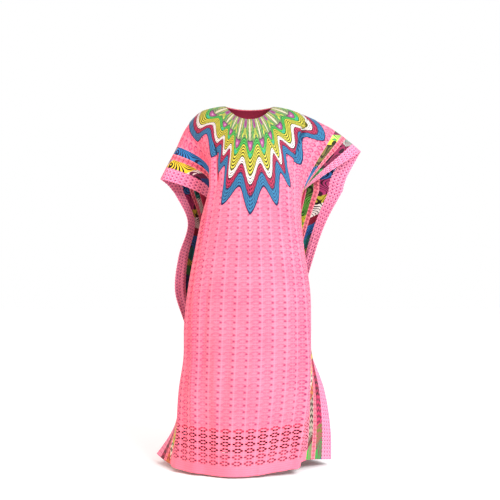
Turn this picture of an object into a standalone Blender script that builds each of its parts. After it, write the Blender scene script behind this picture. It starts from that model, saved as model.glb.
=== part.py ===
"""Grand boubou robe, worn: two wide rectangles of cloth joined on the shoulders, hanging open at the sides.

Frame: metres, +Z up, the front faces -Y. The origin lies midway between the shoulders on the shoulder line.
A place on a piece is given on the flat cut: s across from the middle (minus is the wearer's right, -X)
and v down from the shoulder line.
"""
import bpy
import bmesh
import numpy as np
from math import cos, radians, sin

# Cut of the robe
HALF_WIDTH = 0.500
LENGTH = 1.370
PANEL_HALF = 0.360
INNER_BAND = 0.032
INSERTION = 0.022
OUTER_BAND = 0.034
NECK_HALF = 0.090
NECK_DROP_FRONT = 0.088
NECK_DROP_BACK = 0.030
WALL = 0.002
GAP = 0.0003
SIDE_GAP = 0.0020
FRONT_LINING_ROWS = 17
BACK_LINING_ROWS = 19

# Shoulder and arm line the cloth hangs from: place on the cut, x, y, z
SHOULDER_LINE = (
    (-0.500, -0.333, 0.020, -0.263),
    (-0.440, -0.307, 0.020, -0.211),
    (-0.375, -0.277, 0.018, -0.155),
    (-0.280, -0.237, 0.012, -0.074),
    (-0.195, -0.185, 0.004, -0.018),
    (-0.145, -0.141, 0.000, -0.003),
    (-0.090, -0.092, 0.000, 0.004),
    (0.090, 0.086, 0.000, 0.002),
    (0.150, 0.141, 0.000, -0.007),
    (0.200, 0.185, 0.004, -0.022),
    (0.335, 0.296, 0.030, -0.070),
    (0.430, 0.370, 0.060, -0.118),
    (0.500, 0.418, 0.085, -0.155),
)

# Level sections of each layer. Columns: level z, then the places across the cut named in SECTION_PLACES
SECTION_PLACES = (-0.50, -0.36, -0.20, 0.0, 0.20, 0.36, 0.50)
FRONT_X = (
    (-1.34, -0.385, -0.302, -0.205, -0.030, 0.135, 0.198, 0.304),
    (-1.20, -0.290, -0.272, -0.205, -0.020, 0.160, 0.214, 0.303),
    (-1.05, -0.258, -0.254, -0.206, -0.012, 0.180, 0.222, 0.280),
    (-0.92, -0.195, -0.227, -0.200, -0.006, 0.186, 0.222, 0.232),
    (-0.80, -0.165, -0.223, -0.196, -0.002, 0.185, 0.222, 0.195),
    (-0.68, -0.155, -0.213, -0.190, 0.000, 0.180, 0.218, 0.170),
    (-0.55, -0.145, -0.200, -0.172, 0.000, 0.166, 0.203, 0.155),
    (-0.42, -0.142, -0.183, -0.150, 0.000, 0.152, 0.190, 0.150),
    (-0.30, -0.148, -0.150, -0.132, 0.000, 0.148, 0.190, 0.155),
)
FRONT_Y = (
    (-1.34, 0.105, -0.020, -0.160, -0.215, -0.160, -0.055, 0.050),
    (-1.20, 0.135, 0.000, -0.145, -0.203, -0.145, -0.040, 0.070),
    (-1.05, 0.155, 0.020, -0.130, -0.190, -0.130, -0.010, 0.105),
    (-0.92, 0.155, 0.030, -0.120, -0.180, -0.120, 0.015, 0.140),
    (-0.80, 0.150, 0.030, -0.115, -0.172, -0.115, 0.025, 0.132),
    (-0.68, 0.140, 0.025, -0.112, -0.165, -0.112, 0.025, 0.140),
    (-0.55, 0.125, 0.020, -0.110, -0.156, -0.110, 0.020, 0.125),
    (-0.42, 0.105, 0.015, -0.110, -0.152, -0.110, 0.015, 0.105),
    (-0.30, 0.085, 0.010, -0.110, -0.152, -0.110, 0.010, 0.085),
)
BACK_X = (
    (-1.34, -0.385, -0.290, -0.175, -0.020, 0.145, 0.235, 0.304),
    (-1.20, -0.290, -0.235, -0.160, -0.015, 0.135, 0.225, 0.303),
    (-1.05, -0.258, -0.200, -0.140, -0.010, 0.130, 0.205, 0.280),
    (-0.92, -0.215, -0.165, -0.120, -0.005, 0.120, 0.175, 0.232),
    (-0.80, -0.250, -0.172, -0.115, 0.000, 0.110, 0.158, 0.220),
    (-0.68, -0.284, -0.182, -0.115, 0.000, 0.105, 0.152, 0.210),
    (-0.55, -0.270, -0.180, -0.118, 0.000, 0.112, 0.160, 0.242),
    (-0.42, -0.235, -0.168, -0.120, 0.000, 0.125, 0.188, 0.288),
    (-0.30, -0.290, -0.195, -0.130, 0.000, 0.130, 0.215, 0.352),
)
BACK_Y = (
    (-1.34, 0.105, 0.215, 0.262, 0.275, 0.262, 0.190, 0.050),
    (-1.20, 0.135, 0.225, 0.255, 0.262, 0.255, 0.195, 0.070),
    (-1.05, 0.155, 0.235, 0.245, 0.248, 0.245, 0.215, 0.105),
    (-0.92, 0.155, 0.230, 0.234, 0.232, 0.234, 0.222, 0.140),
    (-0.80, 0.120, 0.205, 0.220, 0.218, 0.220, 0.215, 0.142),
    (-0.68, 0.100, 0.185, 0.204, 0.202, 0.204, 0.198, 0.110),
    (-0.55, 0.090, 0.170, 0.188, 0.186, 0.188, 0.180, 0.110),
    (-0.42, 0.085, 0.160, 0.170, 0.168, 0.170, 0.158, 0.105),
    (-0.30, 0.080, 0.135, 0.148, 0.143, 0.148, 0.140, 0.100),
)

# How each layer leaves the shoulder line. Columns: place on the cut, ease of the fall,
# run of cloth over which the cloth settles from the arm to the body, level of the hem
FRONT_FALL = (
    (-0.50, 0.20, 0.23, -1.297),
    (-0.36, 0.15, 0.19, -1.312),
    (-0.20, 0.05, 0.24, -1.320),
    (0.00, 0.04, 0.22, -1.324),
    (0.20, 0.05, 0.27, -1.309),
    (0.36, 0.10, 0.37, -1.294),
    (0.50, 0.10, 0.33, -1.308),
)
BACK_FALL = (
    (-0.50, 0.06, 0.11, -1.297),
    (-0.36, 0.05, 0.18, -1.313),
    (-0.20, 0.04, 0.22, -1.323),
    (0.00, 0.04, 0.22, -1.326),
    (0.20, 0.04, 0.22, -1.323),
    (0.36, 0.05, 0.23, -1.313),
    (0.50, 0.06, 0.23, -1.308),
)
ARM_DEPTH = 0.065

# Largest folds. Columns: place at the top, place at the hem, half width, height, start, full by
FRONT_FOLDS = (
    (-0.285, -0.300, 0.060, 0.016, 0.42, 0.90),
    (-0.165, -0.150, 0.055, -0.010, 0.70, 1.20),
    (-0.030, -0.045, 0.070, 0.010, 0.80, 1.30),
    (0.110, 0.120, 0.060, -0.010, 0.60, 1.15),
    (0.235, 0.250, 0.055, 0.014, 0.40, 1.00),
)
BACK_FOLDS = (
    (-0.290, -0.300, 0.052, 0.024, 0.16, 0.50),
    (-0.200, -0.205, 0.050, -0.024, 0.12, 0.50),
    (-0.105, -0.112, 0.052, 0.030, 0.14, 0.60),
    (-0.005, 0.000, 0.055, -0.026, 0.12, 0.60),
    (0.100, 0.105, 0.050, 0.027, 0.16, 0.50),
    (0.195, 0.205, 0.050, -0.026, 0.12, 0.50),
    (0.285, 0.300, 0.052, 0.024, 0.16, 0.50),
)

# Sunburst yoke on the cut, measured round the middle of the neck; 0 degrees points to the hem and
# minus is towards -X. Columns: angle and reach of a ray's tip, angle and reach of the valley after it
FRONT_RAYS = (
    (-69.0, 0.310, -57.0, 0.235),
    (-43.0, 0.298, -37.0, 0.262),
    (-31.0, 0.335, -25.5, 0.290),
    (-18.5, 0.425, -8.5, 0.345),
    (0.0, 0.443, 10.5, 0.347),
    (16.5, 0.428, 26.0, 0.320),
    (29.5, 0.385, 38.0, 0.270),
    (47.0, 0.348, 61.0, 0.272),
    (71.5, 0.358, 90.0, 0.255),
)
BACK_RAYS = (
    (-80.0, 0.320, -70.0, 0.235),
    (-60.0, 0.320, -50.0, 0.240),
    (-40.0, 0.330, -30.0, 0.250),
    (-20.0, 0.340, -10.0, 0.255),
    (0.0, 0.350, 10.0, 0.255),
    (20.0, 0.340, 30.0, 0.250),
    (40.0, 0.330, 50.0, 0.240),
    (60.0, 0.320, 70.0, 0.235),
    (80.0, 0.320, 90.0, 0.255),
)
SHOULDER_VALLEY = 0.250

# Rows of facets down the cut, as parts of the length, and columns across the panel
ROWS = (
    0.0, 0.022, 0.050, 0.080, 0.115, 0.155, 0.200, 0.250, 0.300, 0.360,
    0.420, 0.485, 0.550, 0.620, 0.690, 0.760, 0.825, 0.887, 0.945, 1.0,
)
PANEL_COLUMNS = (
    -0.360, -0.312, -0.265, -0.218, -0.172, -0.128, -0.090, -0.080, -0.050, 0.0,
    0.050, 0.080, 0.090, 0.128, 0.172, 0.218, 0.265, 0.312, 0.360,
)

LAYERS = {
    "front": {
        "sign": -1.0, "x": FRONT_X, "y": FRONT_Y, "fall": FRONT_FALL,
        "folds": FRONT_FOLDS, "rays": FRONT_RAYS, "neck": NECK_DROP_FRONT,
        "lining": FRONT_LINING_ROWS,
    },
    "back": {
        "sign": 1.0, "x": BACK_X, "y": BACK_Y, "fall": BACK_FALL,
        "folds": BACK_FOLDS, "rays": BACK_RAYS, "neck": NECK_DROP_BACK,
        "lining": BACK_LINING_ROWS,
    },
}


def ease(t):
    """Smooth step from 0 to 1."""
    t = np.clip(t, 0.0, 1.0)
    return t * t * (3.0 - 2.0 * t)


def knot_weights(knots, places):
    """Weight of every knot at every place, for a smooth curve through all the knots."""
    knots = np.asarray(knots, float)
    count = len(knots)
    places = np.clip(places, knots[0], knots[-1])
    slopes = np.zeros((count, count))
    for k in range(count):
        low, high = max(k - 1, 0), min(k + 1, count - 1)
        slopes[k, high] += 1.0 / (knots[high] - knots[low])
        slopes[k, low] -= 1.0 / (knots[high] - knots[low])
    i = np.clip(np.searchsorted(knots, places, side="right") - 1, 0, count - 2)
    step = knots[i + 1] - knots[i]
    t = (places - knots[i]) / step
    rows = np.arange(len(places))
    weights = ((t**3 - 2 * t**2 + t) * step)[:, None] * slopes[i]
    weights += ((t**3 - t**2) * step)[:, None] * slopes[i + 1]
    weights[rows, i] += 2 * t**3 - 3 * t**2 + 1
    weights[rows, i + 1] += 3 * t**2 - 2 * t**3
    return weights


def columns_at(table, places):
    """Every column of a table, smoothly read at the given places of its first column."""
    table = np.asarray(table, float)
    return knot_weights(table[:, 0], places) @ table[:, 1:]


def plain_surface(layer, s, v):
    """Middle of the cloth without its folds."""
    line = columns_at(SHOULDER_LINE, s)
    fall = columns_at(layer["fall"], s)
    soft, settle, hem = fall[:, 0], fall[:, 1], fall[:, 2]
    dropped = (np.sqrt(v**2 + soft**2) - soft) / (np.sqrt(LENGTH**2 + soft**2) - soft)
    z = line[:, 2] + (hem - line[:, 2]) * dropped
    across = knot_weights(SECTION_PLACES, s)
    body_x = np.sum(columns_at(layer["x"], z) * across, axis=1)
    body_y = np.sum(columns_at(layer["y"], z) * across, axis=1)
    ridge = line[:, 1] + layer["sign"] * ARM_DEPTH * (1.0 - np.exp(-v / ARM_DEPTH))
    settled = ease(v / settle)
    x = line[:, 0] * (1.0 - settled) + body_x * settled
    y = ridge * (1.0 - settled) + body_y * settled
    apart = ease((np.abs(s) - 0.40) / 0.10) * settled
    y = y + layer["sign"] * SIDE_GAP * apart
    return np.stack((x, y, z), axis=1)


def outward(surface, layer, s, v):
    """Unit normals that point away from the wearer."""
    step = 0.002
    left, right = np.maximum(s - step, -HALF_WIDTH), np.minimum(s + step, HALF_WIDTH)
    along = surface(layer, right, v) - surface(layer, left, v)
    down = surface(layer, s, v + step) - surface(layer, s, np.maximum(v - step, 0.0))
    normal = np.cross(along, down) * layer["sign"]
    return normal / np.linalg.norm(normal, axis=1)[:, None]


def fold_height(layer, s, v):
    """Height of the folds over the plain surface."""
    height = np.zeros(len(s))
    for top, bottom, half, tall, start, full in layer["folds"]:
        middle = top + (bottom - top) * v / LENGTH
        across = np.clip((s - middle) / half, -1.0, 1.0)
        height += tall * np.cos(0.5 * np.pi * across)**2 * ease((v - start) / (full - start))
    return height


def cloth(layer, s, v):
    """Middle of the cloth with its folds."""
    points = plain_surface(layer, s, v)
    return points + outward(plain_surface, layer, s, v) * fold_height(layer, s, v)[:, None]


def neck_edge(layer, s):
    """Distance from the shoulder line down to the cut edge of the neck."""
    inside = np.clip(1.0 - np.abs(s / NECK_HALF)**2.2, 0.0, 1.0)
    return layer["neck"] * inside**0.6


def flat_grid(layer, columns, rows):
    """Points of a grid on the cut and its triangles."""
    s, part = np.meshgrid(np.asarray(columns), np.asarray(rows), indexing="ij")
    top = neck_edge(layer, s)
    v = top + (LENGTH - top) * part
    points = np.stack((s.ravel(), v.ravel()), axis=1)
    triangles = []
    tall = len(rows)
    for i in range(len(columns) - 1):
        for j in range(tall - 1):
            a, b = i * tall + j, (i + 1) * tall + j
            triangles.append((a, b, b + 1))
            triangles.append((a, b + 1, a + 1))
    return points, triangles


def new_material(name, color, roughness, metallic=0.0):
    """Plain Principled material."""
    material = bpy.data.materials.new(name)
    material.use_nodes = True
    shader = material.node_tree.nodes["Principled BSDF"]
    shader.inputs["Base Color"].default_value = (*color, 1.0)
    shader.inputs["Roughness"].default_value = roughness
    shader.inputs["Metallic"].default_value = metallic
    return material


def add_wall(name, inner, outer, triangles, material):
    """Closed wall of cloth between two matching sheets of triangles."""
    mesh = bmesh.new()
    low = [mesh.verts.new(point) for point in inner]
    high = [mesh.verts.new(point) for point in outer]
    edges = {}
    for a, b, c in triangles:
        mesh.faces.new((high[a], high[b], high[c]))
        mesh.faces.new((low[c], low[b], low[a]))
        for pair in ((a, b), (b, c), (c, a)):
            edges[pair] = edges.get(pair, 0) + 1
    for a, b in edges:
        if (b, a) not in edges:
            mesh.faces.new((high[b], high[a], low[a], low[b]))
    bmesh.ops.triangulate(mesh, faces=mesh.faces[:])
    bmesh.ops.recalc_face_normals(mesh, faces=mesh.faces[:])
    data = bpy.data.meshes.new(name)
    mesh.to_mesh(data)
    mesh.free()
    piece = bpy.data.objects.new(name, data)
    bpy.context.scene.collection.objects.link(piece)
    piece.data.materials.append(material)
    piece.data.shade_smooth()
    piece.data.set_sharp_from_angle(angle=radians(40))
    return piece


def add_cloth(name, layer, columns, rows, low, high, material):
    """Piece of cloth that fills a grid of the cut, between two heights over its middle."""
    flat, triangles = flat_grid(layer, columns, rows)
    middle = cloth(layer, flat[:, 0], flat[:, 1])
    normal = outward(cloth, layer, flat[:, 0], flat[:, 1])
    middle[:, 1] += layer["sign"] * 0.5 * GAP
    return add_wall(name, middle + normal * low, middle + normal * high, triangles, material)


def clip(polygon, corners):
    """Part of a polygon inside a convex outline; both wind the same way."""
    for k in range(len(corners)):
        a, b = corners[k], corners[(k + 1) % len(corners)]
        edge = b - a
        kept = []
        for m in range(len(polygon)):
            p, q = polygon[m], polygon[(m + 1) % len(polygon)]
            side_p = edge[0] * (p - a)[1] - edge[1] * (p - a)[0]
            side_q = edge[0] * (q - a)[1] - edge[1] * (q - a)[0]
            if side_p >= 0.0:
                kept.append(p)
            if (side_p > 0.0 > side_q) or (side_p < 0.0 < side_q):
                kept.append(p + (q - p) * side_p / (side_p - side_q))
        polygon = kept
        if len(polygon) < 3:
            return []
    return polygon


def ray_outlines(rays):
    """Four-cornered outline of every ray of the sunburst on the cut."""
    def spot(angle, reach):
        return np.array((reach * sin(radians(angle)), reach * cos(radians(angle))))
    outlines = []
    valley = spot(-90.0, SHOULDER_VALLEY)
    for tip_angle, tip_reach, next_angle, next_reach in rays:
        after = spot(next_angle, next_reach)
        outlines.append((after, spot(tip_angle, tip_reach), valley, np.zeros(2)))
        valley = after
    return outlines


def add_yoke(name, layer, material):
    """Yoke laid on the panel: the panel's own facets, cut to the rays and moved out."""
    flat, triangles = flat_grid(layer, PANEL_COLUMNS, ROWS)
    middle = cloth(layer, flat[:, 0], flat[:, 1])
    normal = outward(cloth, layer, flat[:, 0], flat[:, 1])
    middle[:, 1] += layer["sign"] * 0.5 * GAP
    outlines = ray_outlines(layer["rays"])
    low = 0.5 * WALL + GAP
    high = low + WALL
    keys, inner, outer, faces = {}, [], [], []

    def corner(point, tri):
        key = (round(point[0] * 2e4), round(point[1] * 2e4))
        if key not in keys:
            a, b, c = (flat[i] for i in tri)
            share = np.linalg.solve(np.array((b - a, c - a)).T, point - a)
            weight = np.array((1.0 - share.sum(), share[0], share[1]))
            spot, turn = weight @ middle[list(tri)], weight @ normal[list(tri)]
            keys[key] = len(inner)
            inner.append(spot + turn * low)
            outer.append(spot + turn * high)
        return keys[key]

    for tri in triangles:
        polygon = [flat[i] for i in tri][::-1]
        if min(np.linalg.norm(p) for p in polygon) > 0.45:
            continue
        for corners in outlines:
            piece = clip(polygon, corners)
            ring = []
            for point in piece:
                index = corner(point, tri)
                if index not in ring:
                    ring.append(index)
            ring = ring[::-1]
            for k in range(1, len(ring) - 1):
                faces.append((ring[0], ring[k], ring[k + 1]))
    return add_wall(name, np.array(inner), np.array(outer), faces, material)


def build():
    """All the pieces of the robe."""
    for leftover in list(bpy.data.objects):
        bpy.data.objects.remove(leftover, do_unlink=True)
    lace = new_material("pink_lace", (0.93, 0.22, 0.40), 0.75)
    lining = new_material("pink_lining", (0.80, 0.16, 0.32), 0.70)
    wax_inner = new_material("wax_print_inner", (0.12, 0.42, 0.30), 0.65)
    wax_outer = new_material("wax_print_outer", (0.45, 0.08, 0.25), 0.65)
    sunburst = new_material("sunburst_print", (0.10, 0.32, 0.50), 0.65)
    half = 0.5 * WALL
    strips = (
        ("inner_band", INNER_BAND, wax_inner),
        ("insertion", INSERTION, lace),
        ("outer_band", OUTER_BAND, wax_outer),
        ("edging", HALF_WIDTH - PANEL_HALF - INNER_BAND - INSERTION - OUTER_BAND, lace),
    )
    for kind, layer in LAYERS.items():
        add_cloth(f"{kind}_panel", layer, PANEL_COLUMNS, ROWS, -half, half, lace)
        under = (-half - GAP - WALL, -half - GAP)
        rows = ROWS[:layer["lining"] + 1]
        add_cloth(f"{kind}_lining", layer, PANEL_COLUMNS, rows, *under, lining)
        add_yoke(f"yoke_{kind}", layer, sunburst)
        for side, turn in (("right", -1.0), ("left", 1.0)):
            near = PANEL_HALF + GAP
            for strip, width, material in strips:
                far = min(near + width - GAP, HALF_WIDTH)
                columns = sorted((turn * near, turn * far))
                add_cloth(f"{side}_{kind}_{strip}", layer, columns, ROWS, -half, half, material)
                near = far + GAP


build()
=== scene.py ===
"""Grand boubou robe, worn and empty.

Pink lace front and back with a sunburst of printed cotton round the neck, printed bands and lace along
the open sides. Every sheet is a thin shell laid on the form of its solid. A place on a sheet is given on
the flat cut in metres: s across from the middle (minus is the wearer's right), v down from the shoulder.
"""
from math import pi, radians

import bpy
import numpy as np
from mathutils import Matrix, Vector


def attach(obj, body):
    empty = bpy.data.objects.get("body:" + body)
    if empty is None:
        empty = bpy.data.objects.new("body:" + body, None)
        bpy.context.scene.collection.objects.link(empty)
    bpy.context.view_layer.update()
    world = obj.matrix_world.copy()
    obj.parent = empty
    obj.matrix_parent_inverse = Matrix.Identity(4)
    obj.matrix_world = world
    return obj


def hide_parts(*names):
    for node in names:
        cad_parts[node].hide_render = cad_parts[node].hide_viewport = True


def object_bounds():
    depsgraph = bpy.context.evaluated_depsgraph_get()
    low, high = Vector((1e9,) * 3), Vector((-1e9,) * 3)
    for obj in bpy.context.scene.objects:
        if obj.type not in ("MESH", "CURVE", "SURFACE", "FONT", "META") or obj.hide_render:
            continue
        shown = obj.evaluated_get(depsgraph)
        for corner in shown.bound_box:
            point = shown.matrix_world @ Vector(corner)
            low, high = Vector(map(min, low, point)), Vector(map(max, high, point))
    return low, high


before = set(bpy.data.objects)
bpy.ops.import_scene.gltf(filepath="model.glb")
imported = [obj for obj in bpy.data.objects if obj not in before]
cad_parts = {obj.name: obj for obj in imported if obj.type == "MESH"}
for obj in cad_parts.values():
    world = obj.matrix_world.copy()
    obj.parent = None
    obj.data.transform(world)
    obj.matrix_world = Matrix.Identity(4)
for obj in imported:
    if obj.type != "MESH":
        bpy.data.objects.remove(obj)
cad_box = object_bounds()

# Cut of the robe, metres
HALF_WIDTH = 0.500
LENGTH = 1.370
PANEL_HALF = 0.360
INNER_BAND = 0.032
INSERTION = 0.022
OUTER_BAND = 0.034
NECK_HALF = 0.090
WALL = 0.0012
SEAM = 0.0003
# Lining: half width, thickness, space behind the lace, and where its own hem lies
LINING_HALF = 0.357
LINING_WALL = 0.0008
LINING_SPACE = 0.0007
LINING_ENDS = {"front": 1.215, "back": 1.362}
# Space of the yoke over the lace
YOKE_SPACE = 0.0006
# Space between front and back at the open sides: half of it, and where it starts and is full
SIDE_GAP = 0.0020
SIDE_GAP_START = 0.40
SIDE_GAP_RUN = 0.10
# Depth at which the cloth over the arms leaves the shoulder line
ARM_DEPTH = 0.065
NECK_DROP_FRONT = 0.088
NECK_DROP_BACK = 0.030

# Shoulder and arm line the cloth hangs from: place on the cut, x, y, z
SHOULDER_LINE = (
    (-0.500, -0.333, 0.020, -0.263),
    (-0.440, -0.307, 0.020, -0.211),
    (-0.375, -0.277, 0.018, -0.155),
    (-0.280, -0.237, 0.012, -0.074),
    (-0.195, -0.185, 0.004, -0.018),
    (-0.145, -0.141, 0.000, -0.003),
    (-0.090, -0.092, 0.000, 0.004),
    (0.090, 0.086, 0.000, 0.002),
    (0.150, 0.141, 0.000, -0.007),
    (0.200, 0.185, 0.004, -0.022),
    (0.335, 0.296, 0.030, -0.070),
    (0.430, 0.370, 0.060, -0.118),
    (0.500, 0.418, 0.085, -0.155),
)

# Level sections of each layer. Columns: level z, then the places across the cut named in SECTION_PLACES
SECTION_PLACES = (-0.50, -0.36, -0.20, 0.0, 0.20, 0.36, 0.50)
FRONT_X = (
    (-1.34, -0.385, -0.302, -0.205, -0.030, 0.135, 0.198, 0.304),
    (-1.20, -0.290, -0.272, -0.205, -0.020, 0.160, 0.214, 0.303),
    (-1.05, -0.258, -0.254, -0.206, -0.012, 0.180, 0.222, 0.280),
    (-0.92, -0.195, -0.227, -0.200, -0.006, 0.186, 0.222, 0.232),
    (-0.80, -0.165, -0.223, -0.196, -0.002, 0.185, 0.222, 0.195),
    (-0.68, -0.155, -0.213, -0.190, 0.000, 0.180, 0.218, 0.170),
    (-0.55, -0.145, -0.200, -0.172, 0.000, 0.166, 0.203, 0.155),
    (-0.42, -0.142, -0.183, -0.150, 0.000, 0.152, 0.190, 0.150),
    (-0.30, -0.148, -0.150, -0.132, 0.000, 0.148, 0.190, 0.155),
)
FRONT_Y = (
    (-1.34, 0.105, -0.020, -0.160, -0.215, -0.160, -0.055, 0.050),
    (-1.20, 0.135, 0.000, -0.145, -0.203, -0.145, -0.040, 0.070),
    (-1.05, 0.155, 0.020, -0.130, -0.190, -0.130, -0.010, 0.105),
    (-0.92, 0.155, 0.030, -0.120, -0.180, -0.120, 0.015, 0.140),
    (-0.80, 0.150, 0.030, -0.115, -0.172, -0.115, 0.025, 0.132),
    (-0.68, 0.140, 0.025, -0.112, -0.165, -0.112, 0.025, 0.140),
    (-0.55, 0.125, 0.020, -0.110, -0.156, -0.110, 0.020, 0.125),
    (-0.42, 0.105, 0.015, -0.110, -0.152, -0.110, 0.015, 0.105),
    (-0.30, 0.085, 0.010, -0.110, -0.152, -0.110, 0.010, 0.085),
)
BACK_X = (
    (-1.34, -0.385, -0.290, -0.175, -0.020, 0.145, 0.235, 0.304),
    (-1.20, -0.290, -0.235, -0.160, -0.015, 0.135, 0.225, 0.303),
    (-1.05, -0.258, -0.200, -0.140, -0.010, 0.130, 0.205, 0.280),
    (-0.92, -0.215, -0.165, -0.120, -0.005, 0.120, 0.175, 0.232),
    (-0.80, -0.250, -0.172, -0.115, 0.000, 0.110, 0.158, 0.220),
    (-0.68, -0.284, -0.182, -0.115, 0.000, 0.105, 0.152, 0.210),
    (-0.55, -0.270, -0.180, -0.118, 0.000, 0.112, 0.160, 0.242),
    (-0.42, -0.235, -0.168, -0.120, 0.000, 0.125, 0.188, 0.288),
    (-0.30, -0.290, -0.195, -0.130, 0.000, 0.130, 0.215, 0.352),
)
BACK_Y = (
    (-1.34, 0.105, 0.215, 0.262, 0.275, 0.262, 0.190, 0.050),
    (-1.20, 0.135, 0.225, 0.255, 0.262, 0.255, 0.195, 0.070),
    (-1.05, 0.155, 0.235, 0.245, 0.248, 0.245, 0.215, 0.105),
    (-0.92, 0.155, 0.230, 0.234, 0.232, 0.234, 0.222, 0.140),
    (-0.80, 0.120, 0.205, 0.220, 0.218, 0.220, 0.215, 0.142),
    (-0.68, 0.100, 0.185, 0.204, 0.202, 0.204, 0.198, 0.110),
    (-0.55, 0.090, 0.170, 0.188, 0.186, 0.188, 0.180, 0.110),
    (-0.42, 0.085, 0.160, 0.170, 0.168, 0.170, 0.158, 0.105),
    (-0.30, 0.080, 0.135, 0.148, 0.143, 0.148, 0.140, 0.100),
)

# How each layer leaves the shoulder line. Columns: place on the cut, ease of the fall,
# run of cloth over which the cloth settles from the arm to the body, level of the hem
FRONT_FALL = (
    (-0.50, 0.20, 0.23, -1.297),
    (-0.36, 0.15, 0.19, -1.312),
    (-0.20, 0.05, 0.24, -1.320),
    (0.00, 0.04, 0.22, -1.324),
    (0.20, 0.05, 0.27, -1.309),
    (0.36, 0.10, 0.37, -1.294),
    (0.50, 0.10, 0.33, -1.308),
)
BACK_FALL = (
    (-0.50, 0.06, 0.11, -1.297),
    (-0.36, 0.05, 0.18, -1.313),
    (-0.20, 0.04, 0.22, -1.323),
    (0.00, 0.04, 0.22, -1.326),
    (0.20, 0.04, 0.22, -1.323),
    (0.36, 0.05, 0.23, -1.313),
    (0.50, 0.06, 0.23, -1.308),
)
# Largest folds. Columns: place at the top, place at the hem, half width, height, start, full by
FRONT_FOLDS = (
    (-0.285, -0.300, 0.060, 0.016, 0.42, 0.90),
    (-0.165, -0.150, 0.055, -0.010, 0.70, 1.20),
    (-0.030, -0.045, 0.070, 0.010, 0.80, 1.30),
    (0.110, 0.120, 0.060, -0.010, 0.60, 1.15),
    (0.235, 0.250, 0.055, 0.014, 0.40, 1.00),
)
BACK_FOLDS = (
    (-0.290, -0.300, 0.052, 0.024, 0.16, 0.50),
    (-0.200, -0.205, 0.050, -0.024, 0.12, 0.50),
    (-0.105, -0.112, 0.052, 0.030, 0.14, 0.60),
    (-0.005, 0.000, 0.055, -0.026, 0.12, 0.60),
    (0.100, 0.105, 0.050, 0.027, 0.16, 0.50),
    (0.195, 0.205, 0.050, -0.026, 0.12, 0.50),
    (0.285, 0.300, 0.052, 0.024, 0.16, 0.50),
)

# Sunburst yoke on the cut, measured round the middle of the neck; 0 degrees points to the hem and
# minus is towards -X. Columns: angle and reach of a ray's tip, angle and reach of the valley after it
FRONT_RAYS = (
    (-69.0, 0.310, -57.0, 0.235),
    (-43.0, 0.298, -37.0, 0.262),
    (-31.0, 0.335, -25.5, 0.290),
    (-18.5, 0.425, -8.5, 0.345),
    (0.0, 0.443, 10.5, 0.347),
    (16.5, 0.428, 26.0, 0.320),
    (29.5, 0.385, 38.0, 0.270),
    (47.0, 0.348, 61.0, 0.272),
    (71.5, 0.358, 90.0, 0.255),
)
BACK_RAYS = (
    (-80.0, 0.320, -70.0, 0.235),
    (-60.0, 0.320, -50.0, 0.240),
    (-40.0, 0.330, -30.0, 0.250),
    (-20.0, 0.340, -10.0, 0.255),
    (0.0, 0.350, 10.0, 0.255),
    (20.0, 0.340, 30.0, 0.250),
    (40.0, 0.330, 50.0, 0.240),
    (60.0, 0.320, 70.0, 0.235),
    (80.0, 0.320, 90.0, 0.255),
)
SHOULDER_VALLEY = 0.250


# Creases worked into the cloth over its large folds. Columns: place at the start, place at the end,
# half width, height, start, end; all on the cut, heights minus where the cloth sinks
FRONT_CREASES = (
    (0.232, 0.215, 0.012, -0.016, 0.02, 0.26),
    (0.255, 0.262, 0.020, 0.008, 0.06, 0.42),
    (0.205, 0.180, 0.022, 0.006, 0.10, 0.60),
    (-0.178, -0.168, 0.012, -0.013, 0.14, 0.34),
    (-0.205, -0.215, 0.020, 0.008, 0.10, 0.62),
    (-0.245, -0.262, 0.016, -0.006, 0.30, 0.88),
    (-0.228, -0.205, 0.018, 0.006, 0.52, 1.22),
    (-0.150, -0.172, 0.022, -0.005, 0.58, 1.10),
    (-0.118, -0.098, 0.018, 0.004, 0.82, 1.36),
    (-0.060, -0.078, 0.022, -0.004, 0.66, 1.20),
    (0.020, 0.008, 0.026, 0.004, 0.76, 1.37),
    (0.066, 0.052, 0.018, -0.004, 0.90, 1.37),
    (0.128, 0.150, 0.024, 0.005, 0.50, 1.02),
    (0.176, 0.190, 0.018, -0.005, 0.72, 1.34),
    (0.218, 0.226, 0.020, 0.006, 0.86, 1.37),
    (0.290, 0.272, 0.018, -0.006, 0.30, 1.10),
    (0.318, 0.330, 0.020, 0.005, 0.52, 1.30),
    (-0.310, -0.322, 0.020, 0.005, 0.44, 1.28),
    (-0.338, -0.330, 0.014, -0.004, 0.12, 0.40),
    (0.345, 0.338, 0.014, -0.004, 0.10, 0.38),
    (-0.430, -0.424, 0.022, 0.005, 0.30, 1.22),
    (0.432, 0.440, 0.022, 0.005, 0.26, 1.20),
)
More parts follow.
